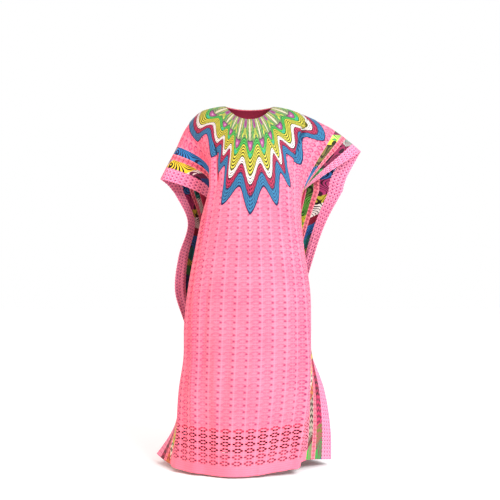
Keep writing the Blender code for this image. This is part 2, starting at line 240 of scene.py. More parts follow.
BACK_CREASES = (
    (-0.330, -0.342, 0.020, 0.006, 0.22, 1.20),
    (-0.245, -0.250, 0.018, 0.006, 0.30, 1.30),
    (-0.150, -0.142, 0.018, 0.005, 0.24, 1.10),
    (-0.128, -0.132, 0.016, -0.005, 0.50, 1.34),
    (-0.055, -0.062, 0.018, 0.006, 0.20, 0.92),
    (-0.030, -0.020, 0.016, -0.004, 0.66, 1.36),
    (0.042, 0.050, 0.020, 0.006, 0.34, 1.22),
    (0.074, 0.070, 0.016, -0.005, 0.18, 0.78),
    (0.150, 0.144, 0.018, 0.006, 0.28, 1.04),
    (0.172, 0.180, 0.016, -0.004, 0.60, 1.35),
    (0.240, 0.250, 0.018, 0.006, 0.22, 1.24),
    (0.335, 0.345, 0.020, 0.006, 0.26, 1.10),
    (-0.378, -0.374, 0.016, -0.012, 0.20, 1.30),
    (-0.425, -0.430, 0.018, 0.008, 0.30, 1.30),
    (-0.462, -0.466, 0.016, -0.006, 0.34, 1.10),
    (0.385, 0.380, 0.018, -0.007, 0.30, 1.24),
    (0.428, 0.432, 0.020, 0.006, 0.24, 1.30),
    (0.466, 0.460, 0.016, -0.005, 0.36, 1.16),
)

# Lace. A cell is one motif with the gap round it; a hole is the middle and the half sizes of an oval in
# a quarter of the cell, mirrored into the other three
LACE_CELL = (0.0450, 0.0226)
LACE_HOLES = (((0.0060, 0.0056), (0.0050, 0.0027)), ((0.0144, 0.0), (0.0052, 0.0032)))
BORDER_ROWS = 6
# The last rows above the plain hem are worked closed, and their openings carry painted shade for the dark
# inside that open holes would show
CLOSED_ROWS = 2
HEM_MARGIN = 0.034
# Plain lace kept at the panel's long edges
SIDE_MARGIN = 0.004
RIB_PITCH = 0.00805
INSERTION_CELL = (0.0220, 0.0162)
INSERTION_HOLES = (((0.0052, 0.0), (0.0026, 0.0030)), ((0.0, 0.0056), (0.0028, 0.0020)))
EDGING_CELL = (0.0140, 0.0150)
EDGING_HOLES = (((0.0, 0.0), (0.0026, 0.0030)), ((0.0070, 0.0075), (0.0020, 0.0020)))
# Painted shadow in one opening of each cell: middle and half sizes
LACE_SHADOW_SPOT = ((0.0144, 0.0), (0.0052, 0.0044))
INSERTION_SHADOW_SPOT = ((0.0, 0.0), (0.0034, 0.0036))
EDGING_SHADOW_SPOT = ((0.0, 0.0), (0.0036, 0.0038))
# The scallops of the edging's outer edge
SCALLOP_PITCH = 0.0135
SCALLOP_DEPTH = 0.002
EDGING = HALF_WIDTH - PANEL_HALF - INNER_BAND - INSERTION - OUTER_BAND

# Pinks of each lace: thread, darker thread for the painted shade patches, ribs and grain, opening, painted
# shadow in an opening, smooth rib
LACE_INKS = ("#F57D94", "#E65E79", "#BE4674", "#863260", "#FF93AC")
INSERTION_INKS = ("#F58A96", "#E2566E", "#B02C50", "#7C1C40", "#FFB0B8")
EDGING_INKS = ("#F499B4", "#E878A0", "#B03A70", "#7E2A60", "#FFB4CC")
# Painted shade in the openings of the closed rows
CLOSED_SHADE_INK = "#6E1C34"

# Rings of the sunburst: where each starts between the neck, 0, and the outer edge, 1, its ground, and
# where its lines change and their ink
SUNBURST_INKS = (
    (0.0, "#75865A"), (0.285, "#2C6E34"), (0.300, "#44A848"), (0.385, "#1B4420"), (0.393, "#BEBA3F"),
    (0.568, "#15151A"), (0.578, "#D9D8D2"), (0.596, "#1A1C24"), (0.607, "#D9D8D2"), (0.630, "#1A1C24"),
    (0.641, "#D9D8D2"), (0.658, "#2A1020"), (0.668, "#A0284A"), (0.785, "#101838"), (0.797, "#2A7096"),
    (0.970, "#13224A"),
)
SUNBURST_LINES = (
    (0.0, "#2E5A34"), (0.300, "#0E3F1E"), (0.393, "#2B3312"), (0.60, "#32081C"), (0.79, "#0E2450"),
)
# How strongly the lines and the beads on them show in each ring
LINE_STRENGTHS = (
    (0.0, 0.50), (0.300, 0.55), (0.393, 1.0), (0.568, 0.0), (0.668, 0.40), (0.79, 0.50), (0.97, 0.0),
)
BEAD_STRENGTHS = ((0.0, 0.40), (0.300, 0.45), (0.393, 0.0), (0.668, 0.60), (0.79, 0.50), (0.97, 0.0))
# Share of the way from neck to edge between two lines, and beads in the width of one ray
SUNBURST_PITCH = 0.0420
BEADS_TO_A_RAY = 11.0

# Drops and beads of colour round the neck: place (across a ray from its axis, along the wave map),
# half sizes, ink
NECK_MOTIFS = (
    ((0.50, 0.06), (0.18, 0.090), "#84597A"),
    ((0.50, 0.07), (0.08, 0.055), "#7E2C62"),
    ((0.50, 0.20), (0.12, 0.060), "#8E9A3C"),
    ((0.27, 0.14), (0.05, 0.130), "#358A40"),
    ((0.0, 0.262), (0.22, 0.056), "#472548"),
    ((0.0, 0.262), (0.17, 0.045), "#8C4674"),
    ((0.0, 0.255), (0.06, 0.018), "#B47CA0"),
    ((0.0, 0.07), (0.080, 0.130), "#B9B79A"),
    ((0.20, 0.03), (0.04, 0.110), "#A89A5C"),
    ((0.0, 0.352), (0.10, 0.018), "#2C8C7C"),
    ((0.34, 0.24), (0.05, 0.030), "#B8B84A"),
)

# Lines of the two printed cloths: space between them, and half the width of a zigzag
PRINT_PITCH = 0.0110
ZIGZAG_HALF = 0.0085
# Between these places of the repeat the lines run across the strip in zigzags
CROSSWISE = (1.225, 1.545)

# The two printed cloths down their length, metres from the start of the repeat: ground and line ink
PRINT_REPEAT = 1.70
INNER_PRINT = (
    (0.000, "#6E2038", "#D8C0B0"), (0.035, "#2478B4", "#0C1A42"), (0.190, "#123A6A", "#9CC4D8"),
    (0.250, "#3F9A3C", "#12300F"), (0.285, "#9A2C60", "#2A0A22"), (0.310, "#3F9A4A", "#D8D060"),
    (0.340, "#C4BE34", "#20260C"), (0.370, "#2E2A1C", "#6A6434"), (0.470, "#2A74A4", "#0E1C40"),
    (0.560, "#B8B02E", "#2A300E"), (0.640, "#7A2340", "#D0A8B0"), (0.720, "#2A7C70", "#0A2C2C"),
    (0.800, "#CFCBC0", "#20222A"), (0.870, "#94306C", "#240A24"), (0.950, "#1B5590", "#B0D0E0"),
    (1.040, "#4C6A28", "#16240E"), (1.140, "#56963A", "#1C3A10"), (1.220, "#B8B02E", "#4E8A2C"),
    (1.320, "#D8D0C0", "#1E1418"), (1.345, "#8E1430", "#B0702C"), (1.390, "#A29686", "#40241E"),
    (1.550, "#3A1A22", "#7A3A2E"), (1.570, "#3AA63A", "#9A3A6A"), (1.640, "#7A2340", "#1C0A14"),
)
OUTER_PRINT = (
    (0.000, "#5E2040", "#D8CCD0"), (0.040, "#DCC42C", "#14140C"), (0.120, "#D8D6CE", "#5E2040"),
    (0.145, "#5E2040", "#14101C"), (0.170, "#1C4880", "#0A1434"), (0.250, "#B4B4AA", "#1E5048"),
    (0.300, "#8C948C", "#6E1A3C"), (0.330, "#7E2046", "#2A0A1C"), (0.450, "#2E884A", "#0E3016"),
    (0.530, "#CFCCC2", "#20222A"), (0.600, "#28609A", "#0C183C"), (0.680, "#962A5C", "#2C0A20"),
    (0.750, "#A09A2C", "#16180A"), (0.790, "#D4D0C6", "#15151C"), (0.830, "#84182E", "#1C060E"),
    (0.870, "#1F609A", "#0B1A40"), (0.935, "#1C7270", "#08282C"), (0.980, "#26260E", "#A8A83C"),
    (1.010, "#2C7C3C", "#0A2410"), (1.050, "#14305E", "#060E22"), (1.110, "#1E4A2C", "#081A0C"),
    (1.170, "#BEAC2E", "#1C1C0C"), (1.240, "#A8143C", "#5A1028"), (1.310, "#A01C46", "#3A0C1C"),
    (1.380, "#C0245A", "#6A1A34"), (1.500, "#6A6A2C", "#A03858"), (1.560, "#349040", "#7A2050"),
    (1.640, "#28609A", "#0C183C"),
)
# Where on its repeat each strip starts at the shoulder
PRINT_STARTS = {
    "right_front_inner_band": 0.000, "right_front_outer_band": 0.000,
    "left_front_inner_band": 0.250, "left_front_outer_band": 0.250,
    "right_back_inner_band": 0.550, "right_back_outer_band": 0.490,
    "left_back_inner_band": 0.830, "left_back_outer_band": 0.470,
}

# Stage: distance of the floor under the robe, colour of the pale warm wall, and the camera
FLOOR_SPACE = 0.002
WALL_TINT = "#EBC0B6"
CAMERA_PLACE = (0.0, -4.5, -0.525)
CAMERA_LENS = 87.6
CAMERA_SENSOR = 36.0
# Lights: name, place, point they turn to, size in metres, power in watts, colour
LIGHTS = (
    ("key", (1.8, -3.4, 1.3), (0.0, 0.0, -0.5), 1.8, 205.0, (0.98, 0.97, 1.0)),
    ("fill", (-3.2, -1.2, 0.0), (0.0, 0.0, -0.6), 2.6, 56.0, (1.0, 0.24, 0.11)),
)

LAYERS = {
    "front": {
        "sign": -1.0, "x": FRONT_X, "y": FRONT_Y, "fall": FRONT_FALL, "folds": FRONT_FOLDS,
        "creases": FRONT_CREASES, "rays": FRONT_RAYS, "neck": NECK_DROP_FRONT,
    },
    "back": {
        "sign": 1.0, "x": BACK_X, "y": BACK_Y, "fall": BACK_FALL, "folds": BACK_FOLDS,
        "creases": BACK_CREASES, "rays": BACK_RAYS, "neck": NECK_DROP_BACK,
    },
}


def ease(t):
    """Smooth step from 0 to 1."""
    t = np.clip(t, 0.0, 1.0)
    return t * t * (3.0 - 2.0 * t)


def knot_weights(knots, places):
    """Weight of every knot at every place, for a smooth curve through all the knots."""
    knots = np.asarray(knots, float)
    count = len(knots)
    places = np.clip(places, knots[0], knots[-1])
    slopes = np.zeros((count, count))
    for k in range(count):
        low, high = max(k - 1, 0), min(k + 1, count - 1)
        slopes[k, high] += 1.0 / (knots[high] - knots[low])
        slopes[k, low] -= 1.0 / (knots[high] - knots[low])
    i = np.clip(np.searchsorted(knots, places, side="right") - 1, 0, count - 2)
    step = knots[i + 1] - knots[i]
    t = (places - knots[i]) / step
    rows = np.arange(len(places))
    weights = ((t**3 - 2 * t**2 + t) * step)[:, None] * slopes[i]
    weights += ((t**3 - t**2) * step)[:, None] * slopes[i + 1]
    weights[rows, i] += 2 * t**3 - 3 * t**2 + 1
    weights[rows, i + 1] += 3 * t**2 - 2 * t**3
    return weights


def columns_at(table, places):
    """Every column of a table, smoothly read at the given places of its first column."""
    table = np.asarray(table, float)
    return knot_weights(table[:, 0], places) @ table[:, 1:]


def plain_surface(layer, s, v):
    """Middle of the cloth without its folds."""
    line = columns_at(SHOULDER_LINE, s)
    fall = columns_at(layer["fall"], s)
    soft, settle, hem = fall[:, 0], fall[:, 1], fall[:, 2]
    dropped = (np.sqrt(v**2 + soft**2) - soft) / (np.sqrt(LENGTH**2 + soft**2) - soft)
    z = line[:, 2] + (hem - line[:, 2]) * dropped
    across = knot_weights(SECTION_PLACES, s)
    body_x = np.sum(columns_at(layer["x"], z) * across, axis=1)
    body_y = np.sum(columns_at(layer["y"], z) * across, axis=1)
    ridge = line[:, 1] + layer["sign"] * ARM_DEPTH * (1.0 - np.exp(-v / ARM_DEPTH))
    settled = ease(v / settle)
    x = line[:, 0] * (1.0 - settled) + body_x * settled
    y = ridge * (1.0 - settled) + body_y * settled
    apart = ease((np.abs(s) - SIDE_GAP_START) / SIDE_GAP_RUN) * settled
    y = y + layer["sign"] * SIDE_GAP * apart
    return np.stack((x, y, z), axis=1)


def outward(surface, layer, s, v):
    """Unit normals that point away from the wearer."""
    step = 0.002
    left, right = np.maximum(s - step, -HALF_WIDTH), np.minimum(s + step, HALF_WIDTH)
    along = surface(layer, right, v) - surface(layer, left, v)
    down = surface(layer, s, v + step) - surface(layer, s, np.maximum(v - step, 0.0))
    normal = np.cross(along, down) * layer["sign"]
    return normal / np.linalg.norm(normal, axis=1)[:, None]


def fold_height(layer, s, v):
    """Height of the folds over the plain surface."""
    height = np.zeros(len(s))
    for top, bottom, half, tall, start, full in layer["folds"]:
        middle = top + (bottom - top) * v / LENGTH
        across = np.clip((s - middle) / half, -1.0, 1.0)
        height += tall * np.cos(0.5 * pi * across)**2 * ease((v - start) / (full - start))
    for top, bottom, half, tall, start, end in layer["creases"]:
        run = (v - start) / (end - start)
        middle = top + (bottom - top) * np.clip(run, 0.0, 1.0)
        across = np.clip((s - middle) / half, -1.0, 1.0)
        fade = ease(run / 0.3) * (1.0 - ease((run - 0.7) / 0.3) * (end < LENGTH))
        height += tall * np.cos(0.5 * pi * across)**2 * fade
    return height


def cloth(layer, s, v):
    """Middle of the cloth with its folds."""
    points = plain_surface(layer, s, v)
    return points + outward(plain_surface, layer, s, v) * fold_height(layer, s, v)[:, None]


def neck_edge(layer, s):
    """Distance from the shoulder line down to the cut edge of the neck."""
    inside = np.clip(1.0 - np.abs(s / NECK_HALF)**2.2, 0.0, 1.0)
    return layer["neck"] * inside**0.6


def grid_faces(wide, tall):
    """Four-cornered faces of a grid whose points run down each column in turn."""
    faces = []
    for i in range(wide - 1):
        for j in range(tall - 1):
            a, b = i * tall + j, (i + 1) * tall + j
            faces.append((a, b, b + 1, a + 1))
    return faces


def shell(name, layer, flat, faces, low, high, maps):
    """Thin closed sheet over places of the cut, between two heights over the middle of the cloth."""
    s, v = flat[:, 0], flat[:, 1]
    middle = cloth(layer, s, v)
    middle[:, 1] += layer["sign"] * 0.5 * SEAM
    normal = outward(cloth, layer, s, v)
    count = len(flat)
    if layer["sign"] < 0.0:
        faces = [face[::-1] for face in faces]
    once = {}
    for face in faces:
        for k in range(len(face)):
            pair = (face[k - 1], face[k])
            if (pair[1], pair[0]) in once:
                del once[(pair[1], pair[0])]
            else:
                once[pair] = True
    walls = [(b, a, a + count, b + count) for a, b in once]
    backs = [tuple(k + count for k in face[::-1]) for face in faces]
    points = np.concatenate((middle + normal * high, middle + normal * low))
    mesh = bpy.data.meshes.new(name)
    mesh.from_pydata(points.tolist(), [], list(faces) + backs + walls)
    corners = np.zeros(len(mesh.loops), np.int32)
    mesh.loops.foreach_get("vertex_index", corners)
    for label, places in maps.items():
        places = np.concatenate((places, places)).astype(np.float32)
        mesh.uv_layers.new(name=label).data.foreach_set("uv", places[corners].ravel())
    mesh.shade_smooth()
    mesh.set_sharp_from_angle(angle=radians(50))
    mesh.update()
    piece = bpy.data.objects.new(name, mesh)
    bpy.context.scene.collection.objects.link(piece)
    return piece


def upright(flat):
    """Map coordinates in metres with their origin at the middle of the hem."""
    return np.stack((flat[:, 0], LENGTH - flat[:, 1]), axis=1)


def inside_holes(places, holes, cell):
    """Which places of a repeated cell lie inside its oval holes."""
    wrapped = np.abs((places / cell + 0.5) % 1.0 - 0.5) * cell
    found = np.zeros(len(places), bool)
    for middle, size in holes:
        found |= np.hypot(*((wrapped - middle) / size).T) < 1.0
    return found


def pull_to_holes(flat, rim, lift, holes, cell):
    """Moves the points round each opening onto its oval."""
    x = flat[rim, 0] + 0.5 * cell[0]
    y = LENGTH - flat[rim, 1] - lift
    places = np.stack((x, y), axis=1)
    base = np.floor(places / cell + 0.5) * cell
    offset = places - base
    turn = np.where(offset < 0.0, -1.0, 1.0)
    folded = np.abs(offset)
    best = np.full(len(places), 9.0)
    result = folded.copy()
    for middle, size in holes:
        away = (folded - middle) / size
        reach = np.maximum(np.hypot(away[:, 0], away[:, 1]), 1e-6)
        closer = np.abs(reach - 1.0) < best
        target = np.array(middle) + away / reach[:, None] * size
        result[closer] = target[closer]
        best[closer] = np.abs(reach - 1.0)[closer]
    moved = base + result * turn
    flat[rim, 0] = moved[:, 0] - 0.5 * cell[0]
    flat[rim, 1] = LENGTH - moved[:, 1] - lift


def lace_panel(name, layer):
    """Panel of lace: plain mesh above, then a finer border whose upper rows are cut through.

    The border has ten rows of faces to a row of motifs, and fourteen in the plain hem.
    """
    wide, fine, upper_rows, cell_rows, hem_rows = 97, 3, 143, 10, 14
    border_top = LENGTH - HEM_MARGIN - BORDER_ROWS * LACE_CELL[1]
    s_coarse = np.linspace(-PANEL_HALF, PANEL_HALF, wide)
    upper = np.linspace(0.0, 1.0, upper_rows)
    s, part = np.meshgrid(s_coarse, upper, indexing="ij")
    top = neck_edge(layer, s)
    v = top + (border_top - top) * part
    flat = [np.stack((s.ravel(), v.ravel()), axis=1)]
    faces = grid_faces(wide, upper_rows)
    s_fine = np.linspace(-PANEL_HALF, PANEL_HALF, (wide - 1) * fine + 1)
    border = border_top + np.arange(1, cell_rows * BORDER_ROWS + 1) * LACE_CELL[1] / cell_rows
    hem = LENGTH - HEM_MARGIN * (1.0 - np.arange(1, hem_rows + 1) / hem_rows)
    lower = np.concatenate((border, hem))
    s, v = np.meshgrid(s_fine, lower, indexing="ij")
    flat.append(np.stack((s.ravel(), v.ravel()), axis=1))
    first, tall = wide * upper_rows, len(lower)
    for i in range(wide - 1):
        a, b = (i + 1) * upper_rows - 1, (i + 2) * upper_rows - 1
        below = [first + (i * fine + k) * tall for k in range(fine + 1)]
        faces.append((a, b, *below[::-1]))
    flat = np.concatenate(flat)
    cells = [tuple(k + first for k in face) for face in grid_faces(len(s_fine), tall)]
    middles = flat[np.array(cells)].mean(axis=1)
    above_hem = LENGTH - middles[:, 1]
    places = np.stack((middles[:, 0] + 0.5 * LACE_CELL[0], above_hem - HEM_MARGIN
                       - 0.5 * LACE_CELL[1]), axis=1)
    cut = inside_holes(places, LACE_HOLES, np.array(LACE_CELL))
    cut &= above_hem > HEM_MARGIN + CLOSED_ROWS * LACE_CELL[1]
    cut &= middles[:, 1] > border_top
    cut &= np.abs(middles[:, 0]) < PANEL_HALF - SIDE_MARGIN
    gone = {k for face, out in zip(cells, cut) if out for k in face}
    kept = [face for face, out in zip(cells, cut) if not out]
    rim = np.array(sorted(gone & {k for face in kept for k in face}))
    pull_to_holes(flat, rim, HEM_MARGIN + 0.5 * LACE_CELL[1], LACE_HOLES, np.array(LACE_CELL))
    faces += kept
    used = np.array(sorted({k for face in faces for k in face}))
    renumber = {old: new for new, old in enumerate(used.tolist())}
    faces = [tuple(renumber[k] for k in face) for face in faces]
    flat = flat[used]
    return shell(name, layer, flat, faces, -0.5 * WALL, 0.5 * WALL, {"cut": upright(flat)})


def lining_sheet(name, layer, end):
    """Plain sheet behind the lace, down to its own hem."""
    wide, tall = 61, 113
    across = np.linspace(-LINING_HALF, LINING_HALF, wide)
    s, part = np.meshgrid(across, np.linspace(0.0, 1.0, tall), indexing="ij")
    top = neck_edge(layer, s)
    v = top + (end - top) * part
    flat = np.stack((s.ravel(), v.ravel()), axis=1)
    high = -0.5 * WALL - LINING_SPACE
    return shell(name, layer, flat, grid_faces(wide, tall), high - LINING_WALL, high, {"cut": upright(flat)})


def strip_sheet(name, layer, turn, near, width, scallop, start):
    """Strip down one side of the robe; a scallop gives its outer edge a row of small bows.

    The strip map runs across from the inner edge, and up from where the print's repeat starts.
    """
    face, scalloped_rows, plain_rows = 0.004, 458, 172
    wide = int(round(width / face)) + 1
    tall = scalloped_rows if scallop else plain_rows
    t, v = np.meshgrid(np.linspace(0.0, 1.0, wide), np.linspace(0.0, LENGTH, tall), indexing="ij")
    bow = scallop * (1.0 - np.abs(np.sin(pi * v / SCALLOP_PITCH))) * ease((t - 0.45) / 0.55)
    s = near + width * t - bow
    if turn < 0.0:
        s, t, v = s[::-1], t[::-1], v[::-1]
    flat = np.stack((turn * s.ravel(), v.ravel()), axis=1)
    along = np.stack((t.ravel() * width, -start - v.ravel()), axis=1)
    maps = {"cut": upright(flat), "strip": along}
    return shell(name, layer, flat, grid_faces(wide, tall), -0.5 * WALL, 0.5 * WALL, maps)


def yoke_sheet(name, layer):
    """Sunburst laid on the panel: rows of points run out from the neck and swell into the rays."""
    steps, tall, farthest_neck = 24, 56, 0.12
    rays = layer["rays"]
    valley_angles = [-90.0] + [ray[2] for ray in rays]
    valley_reaches = [SHOULDER_VALLEY] + [ray[3] for ray in rays]
    angles, swell, rounded, phase = [], [], [], []
    for k, (tip_angle, tip_reach, after_angle, _) in enumerate(rays):
        for m in range(steps + (k == len(rays) - 1)):
            share = m / steps
            toward = 2.0 * share if share < 0.5 else 2.0 - 2.0 * share
            side = valley_angles[k] if share < 0.5 else after_angle
            angle = side + (tip_angle - side) * toward
            base = np.interp(tip_angle, valley_angles, valley_reaches)
            bow = 0.5 - 0.5 * np.cos(pi * toward)
            angles.append(radians(angle))
            swell.append((tip_reach - base) * (0.62 * bow + 0.38 * toward)**1.1)
            rounded.append((tip_reach - base) * (0.92 * bow + 0.08 * toward)**1.1)
            phase.append(k + share)
    angles, swell, rounded, phase = (np.array(k) for k in (angles, swell, rounded, phase))
    valley = np.interp(angles, np.radians(valley_angles), valley_reaches)
    low, high = np.zeros(len(angles)), np.full(len(angles), farthest_neck)
    for _ in range(40):
        half = 0.5 * (low + high)
        out = half * np.cos(angles) > neck_edge(layer, half * np.sin(angles)) - 1e-9
        high = np.where(out, half, high)
        low = np.where(out, low, half)
    neck = high
    q = np.linspace(0.0, 1.0, tall)[None, :]
    reach = neck[:, None] + (valley - neck)[:, None] * q
    reach += (rounded[:, None] + (swell - rounded)[:, None] * q**6) * q**0.64
    s, v = reach * np.sin(angles)[:, None], np.maximum(reach * np.cos(angles)[:, None], 0.0)
    flat = np.stack((s.ravel(), v.ravel()), axis=1)
    wave = np.stack((np.repeat(phase, tall), np.tile(q[0], len(angles))), axis=1)
    maps = {"cut": upright(flat), "wave": wave}
    low = 0.5 * WALL + YOKE_SPACE
    return shell(name, layer, flat, grid_faces(len(angles), tall), low, low + WALL, maps)


def hex_color(code):
    """sRGB hex value as the linear colour a shader takes."""
    parts = [int(code[k:k + 2], 16) / 255.0 for k in (1, 3, 5)]
    return (*[c / 12.92 if c <= 0.04045 else ((c + 0.055) / 1.055)**2.4 for c in parts], 1.0)


def add(tree, kind, sockets=None, stops=None, **settings):
    """Adds a node with its settings, fills or joins its sockets, and sets a ramp's stops."""
    item = tree.nodes.new(kind)
    for key, value in settings.items():
        setattr(item, key, value)
    for key, value in (sockets or {}).items():
        if isinstance(value, bpy.types.NodeSocket):
            tree.links.new(value, item.inputs[key])
        else:
            item.inputs[key].default_value = value
    if stops:
        ramp = item.color_ramp.elements
        ramp.remove(ramp[1])
        for place, color in stops:
            element = ramp.new(place) if place > 0.0 else ramp[0]
            element.color = hex_color(color) if isinstance(color, str) else (color, color, color, 1.0)
    return item


def start_material(name, roughness, sheen, tint):
    """Principled cloth with its constant values on its own sockets."""
    material = bpy.data.materials.new(name)
    material.use_nodes = True
    tree = material.node_tree
    shader = tree.nodes["Principled BSDF"]
    shader.inputs["Roughness"].default_value = roughness
    shader.inputs["IOR"].default_value = 1.45
    shader.inputs["Specular IOR Level"].default_value = 0.25
    shader.inputs["Sheen Weight"].default_value = sheen
    shader.inputs["Sheen Roughness"].default_value = 0.45
    shader.inputs["Sheen Tint"].default_value = hex_color(tint)
    return material, tree, shader


def oval_reach(tree, places, middle, size):
    """Distance from the middle of an oval, 1 on its edge."""
    away = add(tree, "ShaderNodeVectorMath", {0: places, 1: (*middle, 0.0)}, operation="SUBTRACT").outputs[0]
    away = add(tree, "ShaderNodeVectorMath", {0: away, 1: (*size, 1.0)}, operation="DIVIDE").outputs[0]
    return add(tree, "ShaderNodeVectorMath", {0: away}, operation="LENGTH").outputs["Value"]


def calc(tree, kind, first, second=0.0):
    """One step of arithmetic on one or two values."""
    return add(tree, "ShaderNodeMath", {0: first, 1: second}, operation=kind).outputs[0]


def fade(tree, value, start, end, low=0.0, high=1.0):
    """Value read as a ramp between two ends."""
    return add(tree, "ShaderNodeMapRange", {"Value": value, "From Min": start, "From Max": end,
                                            "To Min": low, "To Max": high}).outputs[0]


def blend(tree, amount, under, over):
    """Over laid on under by the amount."""
    under = hex_color(under) if isinstance(under, str) else under
    over = hex_color(over) if isinstance(over, str) else over
    return add(tree, "ShaderNodeMix", {"Factor": amount, "A": under, "B": over},
               data_type="RGBA").outputs["Result"]


def steps(tree, value, stops):
    """Ramp that jumps from one stop to the next."""
    item = add(tree, "ShaderNodeValToRGB", {0: value}, stops=stops)
    item.color_ramp.interpolation = "CONSTANT"
    return item.outputs[0]


def lace_material(name, label, cell, origin, holes, shadow_spot, margin, inks, side):
    """Corded cotton lace: matte raised cords round openings, through which the lining shows deeper pink.

    A cord about 3 mm wide rings each opening, a fine scalloped cord runs over each motif, ribs lie 8 mm
    apart across and a smooth rib runs down between the columns of motifs. The threads are too fine to
    show, so they are drawn as a 2.6 mm grain. The motifs show more towards the sides than in the middle.
    """
    material, tree, shader = start_material(name, 0.72, 0.30, "#FFD0E6")
    flat = add(tree, "ShaderNodeUVMap", uv_map=label).outputs[0]
    places = add(tree, "ShaderNodeVectorMath", {0: flat, 1: (*origin, 0.0)}, operation="ADD").outputs[0]
    half = (0.5 * cell[0], 0.5 * cell[1], 1.0)
    wrapped = add(tree, "ShaderNodeVectorMath", {0: places, 1: half, 2: tuple(-k for k in half)},
                  operation="WRAP").outputs[0]
    folded = add(tree, "ShaderNodeVectorMath", {0: wrapped}, operation="ABSOLUTE").outputs[0]
    nearest = oval_reach(tree, folded, *holes[0])
    for middle, size in holes[1:]:
        nearest = calc(tree, "MINIMUM", nearest, oval_reach(tree, folded, middle, size))
    split = add(tree, "ShaderNodeSeparateXYZ", {0: flat}).outputs
    inside = add(tree, "ShaderNodeSeparateXYZ", {0: folded}).outputs
    around = add(tree, "ShaderNodeSeparateXYZ", {0: wrapped}).outputs
    above = fade(tree, split[1], margin - 0.001, margin + 0.001)
    opening = calc(tree, "MULTIPLY", fade(tree, nearest, 1.12, 0.88), above)
    cord = calc(tree, "MULTIPLY", fade(tree, nearest, 2.0, 1.1), fade(tree, nearest, 0.85, 1.1))
    # Painted shadow: a dark spot in one opening of each cell
    dark = calc(tree, "MULTIPLY", fade(tree, oval_reach(tree, wrapped, *shadow_spot), 1.2, 0.5), above)
    scallop = oval_reach(tree, wrapped, (0.0, -0.22 * cell[1]), (0.40 * cell[0], 0.62 * cell[1]))
    scallop = fade(tree, calc(tree, "ABSOLUTE", calc(tree, "SUBTRACT", scallop, 1.0)), 0.11, 0.03)
    scallop = calc(tree, "MULTIPLY", scallop, fade(tree, around[1], -0.1 * cell[1], 0.0))
    scallop = calc(tree, "MULTIPLY", scallop, above)
    rib = calc(tree, "SINE", calc(tree, "MULTIPLY", split[1], 2.0 * pi / RIB_PITCH))
    border = calc(tree, "MULTIPLY", fade(tree, inside[0], 0.43 * cell[0], 0.47 * cell[0]), above)
    bold = fade(tree, calc(tree, "ABSOLUTE", split[0]), *side, 0.34, 1.0)
    # Large soft patches of painted shade, from a lit pink to a shaded one
    painted_shade_patches = add(tree, "ShaderNodeTexNoise", {"Vector": flat, "Scale": 6.0, "Detail": 3.0}).outputs[0]
    grain = add(tree, "ShaderNodeTexNoise", {"Vector": flat, "Scale": 380.0, "Detail": 2.0}).outputs[0]
    worn = add(tree, "ShaderNodeTexNoise", {"Vector": flat, "Scale": 15.0, "Detail": 2.0}).outputs[0]
    bold = calc(tree, "MULTIPLY", bold, fade(tree, worn, 0.38, 0.62, 0.45, 1.15))
    # Painted shade patches, with the ribs and the grain, mix the thread towards its darker ink
    painted_shade_and_grain = fade(tree, painted_shade_patches, 0.35, 0.65, -0.10, 0.35)
    painted_shade_and_grain = calc(tree, "ADD", painted_shade_and_grain, fade(tree, rib, -1.0, 1.0, 0.0, 0.22))
    painted_shade_and_grain = calc(tree, "ADD", painted_shade_and_grain, fade(tree, grain, 0.3, 0.7, -0.12, 0.25))
    color = blend(tree, painted_shade_and_grain, inks[0], inks[1])
    color = blend(tree, calc(tree, "MULTIPLY", scallop, bold), color, inks[2])
    color = blend(tree, calc(tree, "MULTIPLY", border, 0.22), color, inks[4])
    color = blend(tree, calc(tree, "MULTIPLY", opening, bold), color, inks[2])
    # Painted shadow laid into one opening of each cell
    color = blend(tree, calc(tree, "MULTIPLY", dark, 0.80), color, inks[3])
    rows_top = margin + CLOSED_ROWS * cell[1]
    # Painted shade: the openings of the closed rows are darkened to stand for the shadowed inside seen
    # through open holes
    closed = calc(tree, "MULTIPLY", opening, fade(tree, split[1], rows_top + 0.0005, rows_top - 0.0005))
    color = blend(tree, calc(tree, "MULTIPLY", closed, 0.85), color, CLOSED_SHADE_INK)
    tree.links.new(color, shader.inputs["Base Color"])
    raised = calc(tree, "MULTIPLY", calc(tree, "SUBTRACT", cord, opening), above)
    raised = calc(tree, "ADD", raised, calc(tree, "MULTIPLY", rib, 0.10))
    raised = calc(tree, "ADD", raised, calc(tree, "MULTIPLY", scallop, 0.5))
    raised = calc(tree, "ADD", raised, calc(tree, "MULTIPLY", grain, 0.45))
    bump = add(tree, "ShaderNodeBump", {"Height": raised, "Strength": 0.8, "Distance": 0.0012}).outputs[0]
    tree.links.new(bump, shader.inputs["Normal"])
    return material


def lining_material():
    """Polyester lining: plain weave, finer than shows, with a soft low sheen; drawn as a 2 mm slub."""
    material, tree, shader = start_material("polyester_lining_woven", 0.5, 0.15, "#FFC0D2")
    cut = add(tree, "ShaderNodeUVMap", uv_map="cut").outputs[0]
    slub = add(tree, "ShaderNodeTexNoise", {"Vector": cut, "Scale": 500.0, "Detail": 2.0}).outputs[0]
    tree.links.new(blend(tree, slub, "#C43C5C", "#A82E4C"), shader.inputs["Base Color"])
    bump = add(tree, "ShaderNodeBump", {"Height": slub, "Strength": 0.3, "Distance": 0.0005}).outputs[0]
    tree.links.new(bump, shader.inputs["Normal"])
    return material


